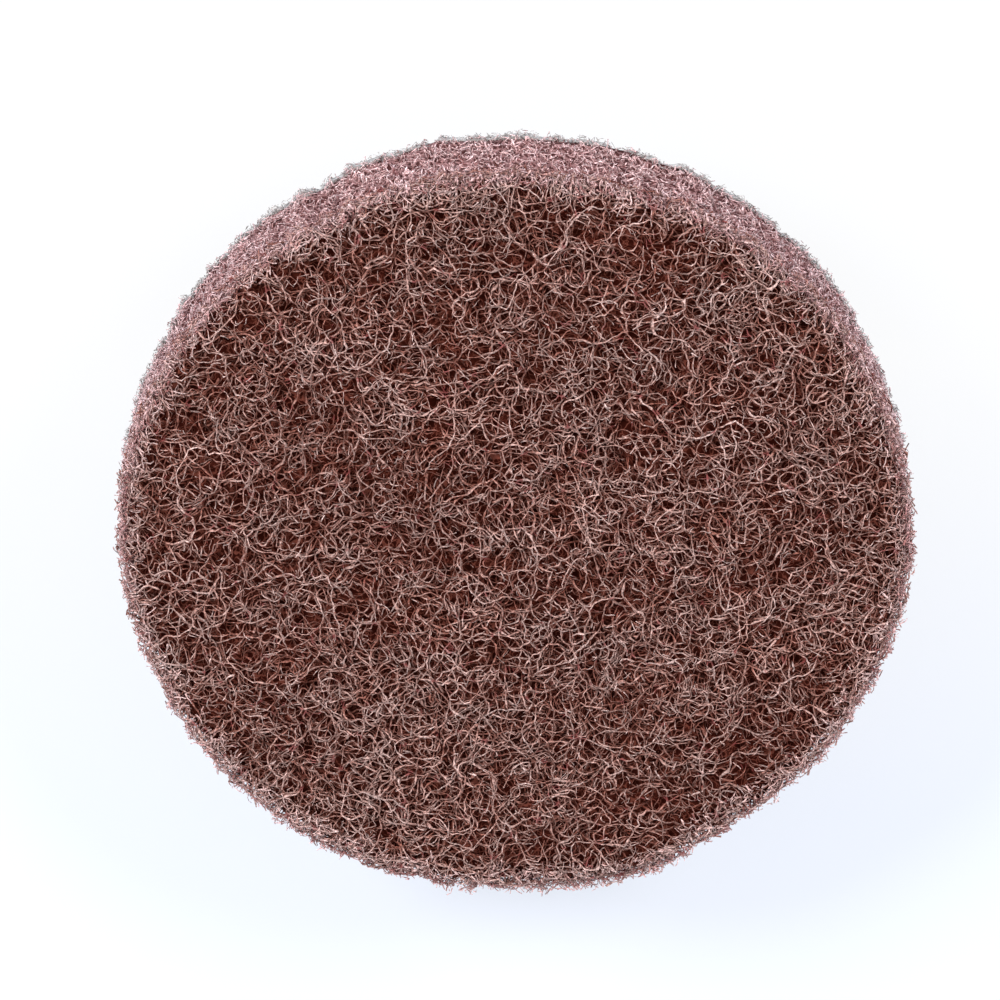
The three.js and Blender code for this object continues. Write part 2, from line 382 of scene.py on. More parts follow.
# The backing cloth: a plain weave of thick grey yarn, stiff with resin. It is laminated to the web and cut
# with it, and the hub is bonded to the middle of its back.
YARN_PITCH = 1.9
YARN_LIFT = 0.15
CLOTH_CELLS = 124
CLOTH_CELLS_PER_YARN = 3
CLOTH_SIDES = 360
CLOTH_SMOOTH_ANGLE = 50
CUTTER_DEPTH_IN_CLOTHS = 4

# How far the die-cut edge stands beyond a true circle, in millimetres, by degrees round the disc. The cut is
# ragged too, because it goes through loose fibres.
CUT_EDGE = [
    (0, 0.3), (18, 0.1), (29, 0.0), (50, 0.2), (71, 0.7), (91, 0.3), (110, 0.9), (120, 0.35), (130, -0.1),
    (141, 0.3), (162, 0.5), (180, 0.6), (208, 0.3), (220, 0.5), (230, 0.3), (260, 0.4), (285, 0.4),
    (330, 0.2),
]
CUT_TUFTS = 300
CUT_RAGGEDNESS = 0.2
WEB_SEED = 7

rng = np.random.default_rng(WEB_SEED)
web_low, web_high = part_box("abrasive_web")
disc_radius = (web_high.x - web_low.x) / 2 / MM
face_height = web_high.z / MM
back_height = web_low.z / MM
cut_turns = np.radians([turn for turn, beyond in CUT_EDGE])
cut_beyond = [beyond for turn, beyond in CUT_EDGE]
tuft_turns = np.linspace(0, 2 * math.pi, CUT_TUFTS, endpoint=False)
tuft_beyond = CUT_RAGGEDNESS * rng.standard_normal(CUT_TUFTS)


def cut_radius(x, y):
    """The radius of the die-cut edge, in millimetres, in the direction of a place."""
    turn = np.arctan2(y, x) % (2 * math.pi)
    drawn = np.interp(turn, cut_turns, cut_beyond, period=2 * math.pi)
    return disc_radius + drawn + np.interp(turn, tuft_turns, tuft_beyond, period=2 * math.pi)


cloth_low, cloth_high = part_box("backing_cloth")
cloth_radius = (cloth_high.x - cloth_low.x) / 2
cloth_thickness = cloth_high.z - cloth_low.z
cloth_inset = disc_radius - cloth_radius / MM
cloth_span = CLOTH_CELLS * YARN_PITCH / CLOTH_CELLS_PER_YARN * MM
bpy.ops.object.select_all(action="DESELECT")
bpy.ops.mesh.primitive_grid_add(
    x_subdivisions=CLOTH_CELLS, y_subdivisions=CLOTH_CELLS, size=cloth_span, location=(0, 0, 0)
)
cloth = bpy.context.object
cloth.name = "backing_weave"
mesh = edit(cloth)
half_turn = math.pi / (YARN_PITCH * MM)
for vertex in mesh.verts:
    across = math.sin(half_turn * vertex.co.x)
    along = math.sin(half_turn * vertex.co.y)
    over = (1 + across * along) / 2
    yarn = abs(across) * over + abs(along) * (1 - over)
    vertex.co.z = cloth_low.z + (1 - yarn) * YARN_LIFT * MM
for edge in mesh.edges:
    edge.select = edge.is_boundary
bmesh.update_edit_mesh(cloth.data)
bpy.ops.mesh.extrude_region_move(TRANSFORM_OT_translate={"value": (0, 0, cloth_thickness)})
for vertex in mesh.verts:
    if vertex.select:
        vertex.co.z = cloth_high.z
bmesh.update_edit_mesh(cloth.data)
bpy.ops.mesh.edge_face_add()
face_out(cloth)
bpy.ops.object.select_all(action="DESELECT")
bpy.ops.mesh.primitive_cylinder_add(
    vertices=CLOTH_SIDES, radius=cloth_radius, depth=CUTTER_DEPTH_IN_CLOTHS * cloth_thickness,
    location=(0, 0, cloth_low.z),
)
cutter = bpy.context.object
bpy.ops.object.transform_apply(location=True, rotation=False, scale=False)
for vertex in cutter.data.vertices:
    vertex.co.xy *= (cut_radius(vertex.co.x, vertex.co.y) - cloth_inset) * MM / vertex.co.xy.length
combine(cloth, cutter, "INTERSECT")
bpy.ops.object.shade_smooth_by_angle(angle=math.radians(CLOTH_SMOOTH_ANGLE))

# The cloth's finish: matt grey yarn, fuzzy and faintly stained with resin, with painted shade in the sunken
# gaps of the weave. Its cut edge, above the height of the deepest gap, keeps the yarn's own colour.
CLOTH_COLOUR = (0.45, 0.435, 0.42, 1)
CLOTH_GAP_SHADE_COLOUR = (0.24, 0.235, 0.22, 1)
CLOTH_ROUGHNESS = 0.85
CLOTH_SPECULAR = 0.3
CLOTH_GAPS_END = 1.05  # in lifts of the yarn
CLOTH_FUZZ = (3800, 3)
CLOTH_FUZZ_RANGE = (0.3, 0.7)
CLOTH_FUZZ_SHADES = (0.7, 1.25)
CLOTH_FUZZ_RELIEF = (0.5, 0.08)
CLOTH_STAINS = (130, 3)
CLOTH_STAIN_SHADES = (0.8, 1.2)


def shaded(tree, colour, shade):
    """A colour made paler or darker by a figure that it is multiplied with."""
    return add_node(tree, "VectorMath", "Vector", {0: colour, "Scale": shade}, operation="SCALE")


woven, tree, shader = new_finish("resin_cloth", CLOTH_ROUGHNESS, CLOTH_SPECULAR)
place = add_node(tree, "TexCoord", "Object", {})
height = add_node(tree, "SeparateXYZ", "Z", {"Vector": place})
sunken = stretched(tree, height, (cloth_low.z, cloth_low.z + YARN_LIFT * MM))
underside = figure(tree, "LESS_THAN", height, cloth_low.z + CLOTH_GAPS_END * YARN_LIFT * MM)
# The gaps are painted darker: a painted shade in the recesses of the weave.
tone = mixed(tree, figure(tree, "MULTIPLY", sunken, underside), CLOTH_COLOUR, CLOTH_GAP_SHADE_COLOUR)
fuzz = noise(tree, place, CLOTH_FUZZ)
fuzzy = stretched(tree, fuzz, CLOTH_FUZZ_RANGE, CLOTH_FUZZ_SHADES)
stained = stretched(tree, noise(tree, place, CLOTH_STAINS), (0, 1), CLOTH_STAIN_SHADES)
yarn_colour = shaded(tree, tone, figure(tree, "MULTIPLY", fuzzy, stained))
tree.links.new(yarn_colour, shader.inputs["Base Color"])
roughen(tree, shader, fuzz, CLOTH_FUZZ_RELIEF)
cloth.data.materials.append(woven)
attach(cloth, "root")
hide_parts("backing_cloth")

# The heart of the fibre web: the fibres deep inside, where hardly any light gets, as one dark relief. It is
# the web's own solid, drawn in, with the same hollows, and the loose fibres of the next sections lie over it.
HEART_RIM_INSET = 0.4
HEART_FACE_INSET = 1.0
HEART_EDGE_INSET = 0.45
HEART_EDGE_BAND = (0.8, 2.2)
HEART_EDGE_WANDER = 0.12

heart_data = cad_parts["abrasive_web"].data.copy()
heart_data.name = "web_heart"
heart_data.materials.clear()
heart = bpy.data.objects.new("web_heart", heart_data)
bpy.context.scene.collection.objects.link(heart)
edit(heart)
bpy.ops.mesh.select_all(action="SELECT")
bpy.ops.mesh.remove_doubles(threshold=WELD_DISTANCE * MM)
mesh = bmesh.from_edit_mesh(heart.data)
for vertex in mesh.verts:
    spread = vertex.co.xy.length / MM / disc_radius
    edge = cut_radius(vertex.co.x, vertex.co.y) - HEART_RIM_INSET + HEART_EDGE_WANDER * rng.uniform(-1, 1)
    inset = np.interp(disc_radius * (1 - spread), HEART_EDGE_BAND, (HEART_EDGE_INSET, HEART_FACE_INSET))
    press = 1 - inset / (face_height - back_height)
    vertex.co.xy *= 1 + (edge / disc_radius - 1) * spread
    vertex.co.z = web_low.z + max(0, vertex.co.z - web_low.z) * press
bmesh.update_edit_mesh(heart.data)
bpy.ops.object.mode_set(mode="OBJECT")
bpy.ops.object.shade_smooth()

# The heart's finish, painted shade for the fibres deep inside. Under the face it is nearly black, with
# patches of resin and a faint net of strands, each drawn where a noise is close to its middle. At the rim it
# is a paler net, round small darker cells of painted shade.
# Nearly black: a painted shade where hardly any light gets.
HEART_SHADE_COLOUR = (0.027, 0.0032, 0.0013, 1)
HEART_ROUGHNESS = 0.9
HEART_SPECULAR = 0.05
HEART_RESIN = (750, 3)
HEART_RESIN_RANGE = (0.52, 0.6)
HEART_RESIN_COLOUR = (0.048, 0.0085, 0.0045, 1)
HEART_STRANDS = [(560, 1), (810, 1), (1130, 1)]
HEART_STRAND_WIDTH = (0.018, 0.006)
HEART_STRAND_COLOUR = (0.16, 0.046, 0.031, 1)
NOISE_MIDDLE = 0.5
HEART_CELL_SCALE = 1300
HEART_CELL_WALL = (0.03, 0.16)
HEART_CELL_BENDS = (900, 2)
HEART_CELL_BENDING = 0.0008
# The darker cells between the rim's fibres: painted shade.
HEART_RIM_CELL_SHADE = (0.09, 0.034, 0.032, 1)
HEART_RIM_FIBRE_COLOUR = (0.36, 0.195, 0.19, 1)
HEART_RIM_INSIDE_EDGE = (2.4, 1.4)
HEART_RIM_BELOW_FACE = (1.6, 2.8)

deep, tree, shader = new_finish("deep_fibre", HEART_ROUGHNESS, HEART_SPECULAR)
place = add_node(tree, "TexCoord", "Object", {})
resin = stretched(tree, noise(tree, place, HEART_RESIN), HEART_RESIN_RANGE)
deep_shade_net = mixed(tree, resin, HEART_SHADE_COLOUR, HEART_RESIN_COLOUR)
for strands in HEART_STRANDS:
    off_middle = figure(tree, "SUBTRACT", noise(tree, place, strands), NOISE_MIDDLE)
    strand = stretched(tree, figure(tree, "ABSOLUTE", off_middle), HEART_STRAND_WIDTH)
    deep_shade_net = mixed(tree, strand, deep_shade_net, HEART_STRAND_COLOUR)
bends = noise(tree, place, HEART_CELL_BENDS, "Color")
bent = mixed(tree, HEART_CELL_BENDING, place, bends, "LINEAR_LIGHT")
cells = {"Vector": bent, "Scale": HEART_CELL_SCALE}
from_wall = add_node(tree, "TexVoronoi", "Distance", cells, feature="DISTANCE_TO_EDGE")
in_cell = stretched(tree, from_wall, HEART_CELL_WALL)
pale_net = mixed(tree, in_cell, HEART_RIM_FIBRE_COLOUR, HEART_RIM_CELL_SHADE)
flat = add_node(tree, "VectorMath", "Vector", {0: place, 1: (1, 1, 0)}, operation="MULTIPLY")
reach = add_node(tree, "VectorMath", "Value", {0: flat}, operation="LENGTH")
height = add_node(tree, "SeparateXYZ", "Z", {"Vector": place})
outer = stretched(tree, reach, [(disc_radius - inside) * MM for inside in HEART_RIM_INSIDE_EDGE])
lower = stretched(tree, height, [(face_height - below) * MM for below in HEART_RIM_BELOW_FACE])
tone = mixed(tree, figure(tree, "MULTIPLY", outer, lower), deep_shade_net, pale_net)
tree.links.new(tone, shader.inputs["Base Color"])
heart.data.materials.append(deep)
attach(heart, "root")
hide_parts("abrasive_web")

# The fibres of the working face: crimped nylon, about an eighth of a millimetre thick, laid flat at random
# and bonded by the resin that carries the grit. They skirt the hollows and each other, weave up and down and
# dive at their ends, so that only lengths of them show, and the die has cut those that reached its edge.
FIBRE_SIDES = 3
FIBRE_UNEVENNESS = 0.3
FIBRE_JITTER = 0.052
KNOT_CHANCE = 0.1
KNOT_SIZE = 1.9
DEEPEST = 2.0

# How a fibre runs: in short steps, with slow bends and sudden kinks, up and down, and down at both ends.
FIBRE_STEP = 0.45
START_MARGIN = 12
BEND_LENGTH = 1.5
KINK_CHANCE = 0.15
KINK_TURN = 0.75
CRINKLE = 0.23
WEAVE_LIFT = 0.3
WEAVE_LENGTH = 1.1
END_DIVE = 1.3
END_DIVE_STEPS = 5

# What it skirts: the web's hollows, made uneven, and the places that are crowded with fibres. Both are kept
# on a grid over the face.
HOLLOW_DEPTHS = (0.45, 1.5)
HOLLOW_WIDTH = 0.62
HOLLOW_DEEPEST = 1.0
HOLLOW_PUSH = 0.45
HOLLOW_DIP = 0.4
UNEVEN_WIDTH = 0.6
UNEVEN_DEPTH = 0.28
UNEVEN_DEEPEST = 1.8
CROWD_WIDTH = 0.45
CROWD_PUSH = 0.9
CROWD_BATCHES = 8
CROWD_BELOW = 0.5
GRID_STEP = 0.15
GRID_REACH = 54
NEXT_TO_NOTHING = 1e-6  # keeps a crowd or a direction that is divided by its size from being nothing
SHORTEST = 1e-9  # does the same for the length of a step along a strand

# Where it ends: the face's edge is rounded and fuzzy. Its far half is frayed too, so that tufts stand out
# from it, and between them it is worn back.
EDGE_ROUNDING = 1.6
EDGE_STEEPEST = 0.97
EDGE_FUZZ = 0.6
FRAY_TUFTS = 130
FRAY_REACH = 0.4
FRAY_DEPTH = 3.0
FRAY_SEED = 11

fray_rng = np.random.default_rng(FRAY_SEED)
fray_turns = np.linspace(0, 2 * math.pi, FRAY_TUFTS, endpoint=False)
far_side = np.sqrt(np.maximum(0, np.sin(fray_turns)))
fray_beyond = FRAY_REACH * fray_rng.standard_normal(FRAY_TUFTS) * far_side


def frayed(track):
    """How far beyond the die-cut edge the frayed one stands, at each point."""
    turn = np.arctan2(track[..., 1], track[..., 0]) % (2 * math.pi)
    near_face = np.clip(1 - (face_height - track[..., 2]) / FRAY_DEPTH, 0, 1)
    return near_face * np.interp(turn, fray_turns, fray_beyond, period=2 * math.pi)


web_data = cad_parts["abrasive_web"].data
web_points = np.empty(len(web_data.vertices) * 3)
web_data.vertices.foreach_get("co", web_points)
web_points = np.unique(np.round(web_points.reshape(-1, 3) / MM, 3), axis=0)
below = face_height - web_points[:, 2]
inside = np.hypot(web_points[:, 0], web_points[:, 1]) < disc_radius - EDGE_ROUNDING
face_hollows = web_points[(below > HOLLOW_DEPTHS[0]) & (below < HOLLOW_DEPTHS[1]) & inside]
grid_side = int(round(2 * GRID_REACH / GRID_STEP))
grid_places = np.arange(grid_side) * GRID_STEP - GRID_REACH
grid_reach = np.hypot(grid_places[:, None], grid_places[None, :])


def grid_cell(x, y):
    """The cells of the grid over the face that places fall in."""
    i = np.clip(np.round((x + GRID_REACH) / GRID_STEP), 0, grid_side - 1).astype(int)
    j = np.clip(np.round((y + GRID_REACH) / GRID_STEP), 0, grid_side - 1).astype(int)
    return i, j


def blurred(field, width):
    """A field over the face, softened by a bell of a width in millimetres."""
    fx = np.fft.fftfreq(grid_side, GRID_STEP)[:, None]
    fy = np.fft.rfftfreq(grid_side, GRID_STEP)[None, :]
    soften = np.exp(-2 * (math.pi * width) ** 2 * (fx**2 + fy**2))
    return np.fft.irfft2(np.fft.rfft2(field) * soften, s=field.shape)


hollow_marks = np.zeros((grid_side, grid_side))
np.add.at(hollow_marks, grid_cell(face_hollows[:, 0], face_hollows[:, 1]), face_height - face_hollows[:, 2])
bell_height = 2 * math.pi * (HOLLOW_WIDTH / GRID_STEP) ** 2
face_depth = np.minimum(blurred(hollow_marks, HOLLOW_WIDTH) * bell_height, HOLLOW_DEEPEST)
uneven = blurred(rng.standard_normal((grid_side, grid_side)), UNEVEN_WIDTH)
face_depth = np.clip(face_depth + UNEVEN_DEPTH * uneven / uneven.std(), 0, UNEVEN_DEEPEST)


def smooth_noise(steps, count, length):
    """One slowly changing random number along each of count strands, about 1 in size."""
    keep = math.exp(-FIBRE_STEP / length)
    values = np.empty((steps + 1, count))
    values[0] = rng.standard_normal(count)
    for i in range(steps):
        values[i + 1] = keep * values[i] + math.sqrt(1 - keep**2) * rng.standard_normal(count)
    return values


def edge_drop(track):
    """How far the face has dropped at each point, because its edge is rounded."""
    past = np.hypot(track[:, :, 0], track[:, :, 1]) - (disc_radius - EDGE_ROUNDING)
    past = np.clip(past / EDGE_ROUNDING, 0, EDGE_STEEPEST)
    return EDGE_ROUNDING * (1 - np.sqrt(1 - past**2))


def lay_strands(laid, count, steps, bend, depth_from, depth_to):
    """Strands that wander over the face: their points, as an array of steps by strands by xyz, and how deep
    below the face each point lies. They are laid in batches, and each turns away from where many lie. laid
    is how many points lie in each cell, and is added to."""
    batches = []
    size = count // CROWD_BATCHES
    for batch in range(CROWD_BATCHES):
        crowd = blurred(laid, CROWD_WIDTH)
        crowd /= crowd[grid_reach < disc_radius].mean() + NEXT_TO_NOTHING
        slope_x, slope_y = np.gradient(HOLLOW_PUSH * face_depth + CROWD_PUSH * crowd, GRID_STEP)
        reach = np.sqrt(rng.random(size)) * (disc_radius + START_MARGIN)
        turn = rng.random(size) * 2 * math.pi
        x = reach * np.cos(turn)
        y = reach * np.sin(turn)
        heading = rng.random(size) * 2 * math.pi
        curvature = bend * smooth_noise(steps, size, BEND_LENGTH)
        track = np.empty((steps + 1, size, 3))
        for i in range(steps + 1):
            track[i, :, 0] = x
            track[i, :, 1] = y
            cell = grid_cell(x, y)
            away = slope_x[cell] * np.sin(heading) - slope_y[cell] * np.cos(heading)
            kink = (rng.random(size) < KINK_CHANCE) * rng.standard_normal(size) * KINK_TURN
            kink += CRINKLE * rng.standard_normal(size)
            heading = heading + FIBRE_STEP * (curvature[i] + away) + kink
            x = x + FIBRE_STEP * np.cos(heading)
            y = y + FIBRE_STEP * np.sin(heading)
        np.add.at(laid, grid_cell(track[:, :, 0], track[:, :, 1]), 1.0)
        batches.append(track)
    track = np.concatenate(batches, axis=1)
    count = track.shape[1]
    layer = depth_from + (depth_to - depth_from) * rng.random(count)
    weave = WEAVE_LIFT * np.abs(smooth_noise(steps, count, WEAVE_LENGTH))
    dip = HOLLOW_DIP * face_depth[grid_cell(track[:, :, 0], track[:, :, 1])]
    from_end = np.minimum(np.arange(steps + 1), np.arange(steps, -1, -1))
    dive = END_DIVE * np.maximum(0, 1 - from_end / END_DIVE_STEPS) ** 2
    depth = layer[None, :] + weave + dip + dive[:, None]
    track[:, :, 2] = face_height - depth - edge_drop(track)
    track += FIBRE_JITTER * rng.standard_normal(track.shape)
    return track, depth


def cut_to_edge(track, depth, beyond):
    """Each strand's first run of points that is inside the cut edge or less than beyond outside it, moved to
    the front, with its depths and how many points the run has."""
    points = track.shape[0]
    reach = np.hypot(track[:, :, 0], track[:, :, 1])
    within = reach <= cut_radius(track[:, :, 0], track[:, :, 1]) + frayed(track) + beyond[None, :]
    first = np.where(within.any(axis=0), within.argmax(axis=0), points)
    order = first[None, :] + np.arange(points)[:, None]
    over = order >= points
    order = np.minimum(order, points - 1)
    ended = over | ~np.take_along_axis(within, order, axis=0)
    kept = np.where(ended.any(axis=0), ended.argmax(axis=0), points)
    track = np.take_along_axis(track, order[:, :, None], axis=0)
    return track, np.take_along_axis(depth, order, axis=0), kept


def strand_mesh(name, track, depth, kept, radius, finish, away):
    """One piece of thin closed tubes along the strands. kept is how many points each keeps, radius how thick
    each is, and away the direction out of the surface that they lie in, at each point."""
    shown = kept >= 2
    track = track[:, shown]
    depth = depth[:, shown]
    kept = kept[shown]
    radius = radius[shown]
    away = np.broadcast_to(away, track.shape) if away.ndim == 1 else away[:, shown]
    points, strands = track.shape[:2]
    along = np.gradient(track, axis=0)
    along /= np.linalg.norm(along, axis=2, keepdims=True) + SHORTEST
    side = np.cross(along, away)
    side /= np.linalg.norm(side, axis=2, keepdims=True) + SHORTEST
    lift = np.cross(side, along)
    roll = rng.random(strands) * 2 * math.pi
    thick = radius * (1 + FIBRE_UNEVENNESS * rng.uniform(-1, 1, (points, strands)))
    thick[rng.random((points, strands)) < KNOT_CHANCE] *= KNOT_SIZE
    rings = []
    for k in range(FIBRE_SIDES):
        angle = roll + 2 * math.pi * k / FIBRE_SIDES
        arm = side * np.cos(angle)[None, :, None] + lift * np.sin(angle)[None, :, None]
        rings.append(track + arm * thick[:, :, None])
    used = (np.arange(points)[:, None] < kept[None, :]).T
    corners = np.stack(rings, axis=2).transpose(1, 0, 2, 3)[used].reshape(-1, 3)
    number = np.full((strands, points), -1)
    number[used] = np.arange(used.sum())
    joined = (number[:, :-1] >= 0) & (number[:, 1:] >= 0)
    a = number[:, :-1][joined] * FIBRE_SIDES
    b = number[:, 1:][joined] * FIBRE_SIDES
    faces = []
    for k in range(FIBRE_SIDES):
        n = (k + 1) % FIBRE_SIDES
        faces += np.stack([a + k, a + n, b + n, b + k], axis=1).tolist()
    first = number[:, 0] * FIBRE_SIDES
    last = number[np.arange(strands), kept - 1] * FIBRE_SIDES
    faces += np.stack([first + k for k in reversed(range(FIBRE_SIDES))], axis=1).tolist()
    faces += np.stack([last + k for k in range(FIBRE_SIDES)], axis=1).tolist()
    mesh = bpy.data.meshes.new(name)
    mesh.from_pydata((corners * MM).tolist(), [], faces)
    mesh.update()
    values = {
        "strand": np.repeat(rng.random(strands), kept * FIBRE_SIDES),
        "depth": np.repeat(np.clip(depth.T[used] / DEEPEST, 0, 1), FIBRE_SIDES),
    }
    for label, value in values.items():
        attribute = mesh.attributes.new(label, "FLOAT", "POINT")
        attribute.data.foreach_set("value", value.astype(np.float32))
    mesh.materials.append(finish)
    mesh.shade_smooth()
    piece = bpy.data.objects.new(name, mesh)
    bpy.context.scene.collection.objects.link(piece)
    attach(piece, "root")
    return piece


# The fibres' finish. The grit in the resin makes it uneven along its length, and here and there a grain of it
# shows a painted glint, a pale speck as if it caught the light. Where the resin has pooled, the fibres are
# redder.
FIBRE_ROUGHNESS = 0.55
FIBRE_SPECULAR = 0.25
GRIT = (4600, 2)
GRIT_RANGE = (0.38, 0.62)
GRIT_SHADES = (0.5, 1.5)
GRIT_RELIEF = (0.8, 0.06)
GRAIN_GLINT_RANGE = (0.70, 0.74)
GRAIN_GLINT_COLOUR = (0.85, 0.76, 0.74, 1)
POOLS = (850, 1)
POOL_RANGE = (0.66, 0.72)
POOL_SHARE = (0, 0.75)
POOLED_RESIN_COLOUR = (0.24, 0.04, 0.04, 1)


def fibre_finish(name, tones, spread):
    """Resin-coated nylon: its tones from where it lies open at the top to furthest in, which paint the shade
    that deepens into the web, and how much paler or darker one strand is than the next."""
    finish, tree, shader = new_finish(name, FIBRE_ROUGHNESS, FIBRE_SPECULAR)
    place = add_node(tree, "TexCoord", "Object", {})
    depth = add_node(tree, "Attribute", "Fac", {}, attribute_name="depth")
    tone = add_node(tree, "ValToRGB", "Color", {"Fac": depth})
    stops = tone.node.color_ramp.elements
    while len(stops) < len(tones):
        stops.new(1)
    for stop, (position, colour) in zip(stops, tones):
        stop.position = position
        stop.color = colour
    strand = add_node(tree, "Attribute", "Fac", {}, attribute_name="strand")
    varied = stretched(tree, strand, (0, 1), (1 - spread, 1 + spread))
    grit = noise(tree, place, GRIT)
    specked = stretched(tree, grit, GRIT_RANGE, GRIT_SHADES)
    tone = shaded(tree, tone, figure(tree, "MULTIPLY", varied, specked))
    pooled = stretched(tree, noise(tree, place, POOLS), POOL_RANGE, POOL_SHARE)
    tone = mixed(tree, pooled, tone, POOLED_RESIN_COLOUR)
    # A painted glint: pale specks where the grit noise lies in a narrow band.
    tone = mixed(tree, stretched(tree, grit, GRAIN_GLINT_RANGE), tone, GRAIN_GLINT_COLOUR)
    tree.links.new(tone, shader.inputs["Base Color"])
    roughen(tree, shader, grit, GRIT_RELIEF)
    return finish


STRAND_SPREAD = 0.3
# Darker and redder further in: a painted shade, with some of the redness the resin's own.
FACE_TONES_AND_DEPTH_SHADE = [
    (0.0, (0.536, 0.384, 0.357, 1)),
    (0.18, (0.408, 0.249, 0.218, 1)),
    (0.45, (0.26, 0.102, 0.076, 1)),
    (0.8, (0.132, 0.028, 0.015, 1)),
]
face_fibre = fibre_finish("face_fibre", FACE_TONES_AND_DEPTH_SHADE, STRAND_SPREAD)

# Strands by layer: how many, their steps, their bend per millimetre, their depth and their radius.
FACE_LAYERS = [
    ("face_fibres_top", 1056, 44, 0.32, (0.0, 0.3), (0.044, 0.086)),
    ("face_fibres_middle", 1200, 44, 0.38, (0.2, 0.8), (0.047, 0.075)),
    ("face_fibres_deep", 840, 44, 0.45, (0.6, 1.2), (0.05, 0.08)),
]
up = np.array((0.0, 0.0, 1.0))
laid = np.zeros((grid_side, grid_side))
for name, count, steps, bend, depths, radii in FACE_LAYERS:
    laid *= CROWD_BELOW
    track, depth = lay_strands(laid, count, steps, bend, *depths)
    count = track.shape[1]
    track, depth, kept = cut_to_edge(track, depth, EDGE_FUZZ * rng.random(count) ** 2)
    piece = strand_mesh(name, track, depth, kept, rng.uniform(*radii, count), face_fibre, up)

# Short fibres between the long ones, of the same nylon and in the same resin: broken lengths and loose ends
# that stand up and down through the face.
SHORT_COUNT = 5400
SHORT_STEPS = 3
SHORT_STEP = 0.35
SHORT_LEAN = 0.5
SHORT_CRINKLE = 0.3
SHORT_OVERHANG = 0.3
SHORT_DEPTHS = (0.1, 1.2)
SHORT_RADII = (0.03, 0.055)


def short_strands(place, away, side, steps, step, lean, crinkle):
    """Short strands that start at given places: each goes off at random along the surface, and leans out of
    it or in."""
    spin = rng.random(len(place)) * 2 * math.pi
    heading = side * np.cos(spin)[:, None] + np.cross(away, side) * np.sin(spin)[:, None]
    heading = heading + away * lean * rng.standard_normal(len(place))[:, None]
    track = np.empty((steps + 1, len(place), 3))
    for i in range(steps + 1):
        track[i] = place
        heading = heading + crinkle * rng.standard_normal(heading.shape)
        heading = heading / np.linalg.norm(heading, axis=1, keepdims=True)
        place = place + step * heading
    return track


turn = rng.random(SHORT_COUNT) * 2 * math.pi
reach = np.sqrt(rng.random(SHORT_COUNT)) * (disc_radius + SHORT_OVERHANG)
depth = rng.uniform(*SHORT_DEPTHS, SHORT_COUNT)
place = np.stack([reach * np.cos(turn), reach * np.sin(turn), face_height - depth], axis=1)
side = np.broadcast_to((1.0, 0.0, 0.0), place.shape)
away = np.broadcast_to(up, place.shape)
track = short_strands(place, away, side, SHORT_STEPS, SHORT_STEP, SHORT_LEAN, SHORT_CRINKLE)
depth = np.maximum(0, face_height - track[:, :, 2])
dip = HOLLOW_DIP * face_depth[grid_cell(track[:, :, 0], track[:, :, 1])]
track[:, :, 2] = face_height - depth - dip - edge_drop(track)
track, depth, kept = cut_to_edge(track, depth, EDGE_FUZZ * rng.random(SHORT_COUNT) ** 2)
radius = rng.uniform(*SHORT_RADII, SHORT_COUNT)
short = strand_mesh("face_fibres_short", track, depth, kept, radius, face_fibre, up)

# The fibres that go over the edge of the face, where it rounds down to the rim. The cut has loosened them,
# most of all on the far side, where there are more of them in a wider band.
EDGE_COUNT = 4800
EDGE_STEPS = 3
EDGE_STEP = 0.4
EDGE_OUTMOST = -0.2
EDGE_WIDTH = 1.6
EDGE_FADE = 1.7
EDGE_FAR_WIDER = 0.85
EDGE_FAR_MORE = 0.18
EDGE_WIDER_AT_SIDES = 0.35
EDGE_TOP = 0.2
EDGE_DEPTH = 0.85
EDGE_LOWER_WITHIN = 0.2
EDGE_RADII = (0.04, 0.068)
# Paler than the face's fibres, a painted light where the edge catches more of it, and darker further in, a
# painted shade.
EDGE_LIT_TONES_AND_DEPTH_SHADE = [
    (0.0, (0.63, 0.45, 0.43, 1)),
    (0.2, (0.49, 0.295, 0.27, 1)),
    (0.45, (0.30, 0.13, 0.11, 1)),
    (0.8, (0.15, 0.038, 0.026, 1)),
]

turn = rng.random(EDGE_COUNT) * 2 * math.pi
turn += EDGE_FAR_MORE * np.cos(turn)
outward = np.stack([np.cos(turn), np.sin(turn), np.zeros(EDGE_COUNT)], axis=1)
side = np.stack([-np.sin(turn), np.cos(turn), np.zeros(EDGE_COUNT)], axis=1)
far = np.clip(EDGE_WIDER_AT_SIDES + (1 - EDGE_WIDER_AT_SIDES) * np.sin(turn), 0, 1)
width = EDGE_WIDTH * (1 + EDGE_FAR_WIDER * far)
inset = EDGE_OUTMOST + width * rng.random(EDGE_COUNT) ** EDGE_FADE
brink = cut_radius(outward[:, 0], outward[:, 1]) + frayed(outward * disc_radius + up * face_height)
place = outward * (brink - inset)[:, None]
depth = rng.uniform(EDGE_TOP, EDGE_DEPTH, EDGE_COUNT) + np.maximum(0, EDGE_LOWER_WITHIN - inset)
place[:, 2] = face_height - depth - edge_drop(place[None])[0]
steepness = np.clip(1 - inset / EDGE_ROUNDING, 0, 1)[:, None]
away = outward * steepness + up * (1 - steepness) + NEXT_TO_NOTHING
away = away / np.linalg.norm(away, axis=1, keepdims=True)
track = short_strands(place, away, side, EDGE_STEPS, EDGE_STEP, SHORT_LEAN, SHORT_CRINKLE)
track[:, :, 2] = np.minimum(track[:, :, 2], face_height - EDGE_TOP - edge_drop(track))
depth = np.broadcast_to(depth - EDGE_TOP, track.shape[:2])
track, depth, kept = cut_to_edge(track, depth, EDGE_FUZZ * rng.random(EDGE_COUNT))
away = np.broadcast_to(away, track.shape)
radius = rng.uniform(*EDGE_RADII, EDGE_COUNT)
edge_fibre = fibre_finish("edge_fibre", EDGE_LIT_TONES_AND_DEPTH_SHADE, STRAND_SPREAD)
